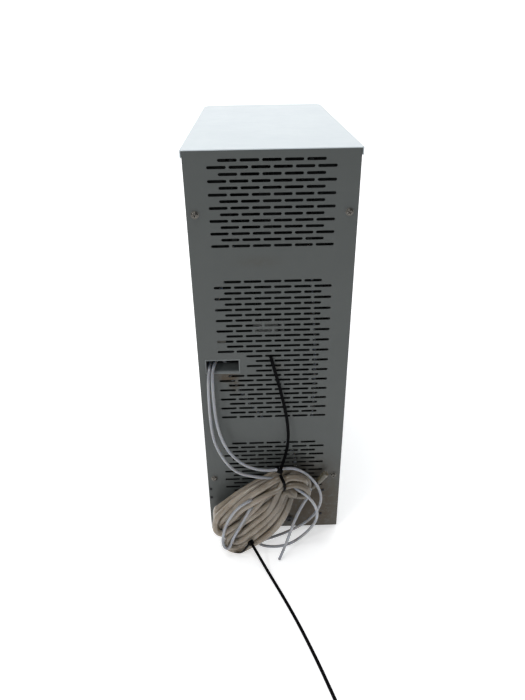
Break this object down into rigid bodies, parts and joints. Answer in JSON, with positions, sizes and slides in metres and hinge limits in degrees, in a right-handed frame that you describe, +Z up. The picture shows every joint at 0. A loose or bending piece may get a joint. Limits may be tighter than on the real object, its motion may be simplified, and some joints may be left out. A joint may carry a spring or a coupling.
{
  "type": "ultraviolet water clarifier",
  "caption": "Tall slotted sheet-metal cabinet holding an ultraviolet water clarifier, with thin water tubes, a tied hose hank and cable ties at its rear.",
  "frame": {"origin": "on the floor under the middle of the cabinet, without its hoses and ties", "axes": "+Z up, the front panel faces -Y and the vented rear panel faces +Y, +X to the right seen from the front"},
  "size_m": [0.2405, 0.8174, 0.672],
  "materials": {
    "painted_sheet": "satin light grey powder coat",
    "painted_lid": "satin off-white powder coat",
    "painted_inside": "satin grey",
    "zinc_steel": "zinc plated",
    "dark_steel": "black oxide",
    "stainless": "polished",
    "cast_aluminium": "cast",
    "rubber": "matte",
    "black_plastic": "matte",
    "grey_plastic": "matte",
    "white_plastic": "gloss",
    "red_plastic": "gloss",
    "green_lens": "gloss",
    "clear_plastic": "clear",
    "clear_glass": "clear",
    "ceramic": "glazed",
    "white_tube": "translucent",
    "beige_hose": "translucent silicone"
  },
  "bodies": {
    "cabinet": {"base_pan": "painted_inside", "side_panel_left": "painted_sheet", "side_panel_right": "painted_sheet", "front_panel": "painted_sheet", "rear_panel": "painted_sheet", "tube_port_frame": "grey_plastic", "rear_panel_screws": "zinc_steel", "rear_screw_washers": "zinc_steel", "bracket_screws": "dark_steel", "feet": "rubber", "equipment_plate": "zinc_steel", "machine_screws": "zinc_steel", "reactor_tube": "stainless", "reactor_bottom_cap": "stainless", "reactor_top_flange": "stainless", "gland_nut": "black_plastic", "sleeve_orings": "rubber", "quartz_sleeve": "clear_glass", "uv_lamp": "clear_glass", "lamp_end_caps": "ceramic", "lamp_connector": "black_plastic", "reactor_clamps": "black_plastic", "ballast": "painted_inside", "fan_frame": "black_plastic", "fan_bracket": "zinc_steel", "pump_motor": "cast_aluminium", "pump_bushes": "ceramic", "pump_volute": "black_plastic", "pump_cover": "black_plastic", "pump_bracket": "zinc_steel", "pump_mounts": "rubber", "filter_head": "white_plastic", "filter_bowl": "clear_plastic", "filter_cartridge": "white_plastic", "feed_hose": "white_tube", "pump_hose": "white_tube", "filter_hose": "white_tube", "return_hose": "white_tube", "tube_connectors": "white_plastic", "connector_bracket": "zinc_steel", "terminal_block": "white_plastic", "power_inlet": "black_plastic", "lamp_lead": "black_plastic", "fan_lead": "black_plastic", "pump_lead": "black_plastic", "drain_fitting": "black_plastic", "switch_bezel": "black_plastic", "indicator_lenses": "green_lens", "sight_glass": "clear_glass", "inlet_tube": "white_tube", "outlet_tube": "white_tube", "hose_coil": "beige_hose", "hose_end": "beige_hose", "cable_tie_upper": "black_plastic", "cable_tie_lower": "black_plastic"},
    "lid": {"lid": "painted_lid"},
    "rocker": {"switch_rocker": "red_plastic"},
    "fan_wheel": {"fan_rotor": "black_plastic"},
    "pump_spindle": {"pump_rotor": "stainless", "pump_impeller": "white_plastic"}
  },
  "joints": [
    {"name": "lid_lift", "type": "slide", "parent": "cabinet", "child": "lid", "axis": [0, 0, 1], "range_m": [0, 0.12]},
    {"name": "rocker_tilt", "type": "hinge", "parent": "cabinet", "child": "rocker", "pos_m": [0, -0.246, 0.56], "axis": [1, 0, 0], "range_deg": [-14, 0]},
    {"name": "fan_spin", "type": "hinge", "parent": "cabinet", "child": "fan_wheel", "pos_m": [0, 0.2165, 0.6], "axis": [0, 1, 0], "continuous": true},
    {"name": "pump_spin", "type": "hinge", "parent": "cabinet", "child": "pump_spindle", "pos_m": [-0.04, 0.11, 0.082], "axis": [0, 1, 0], "continuous": true}
  ]
}
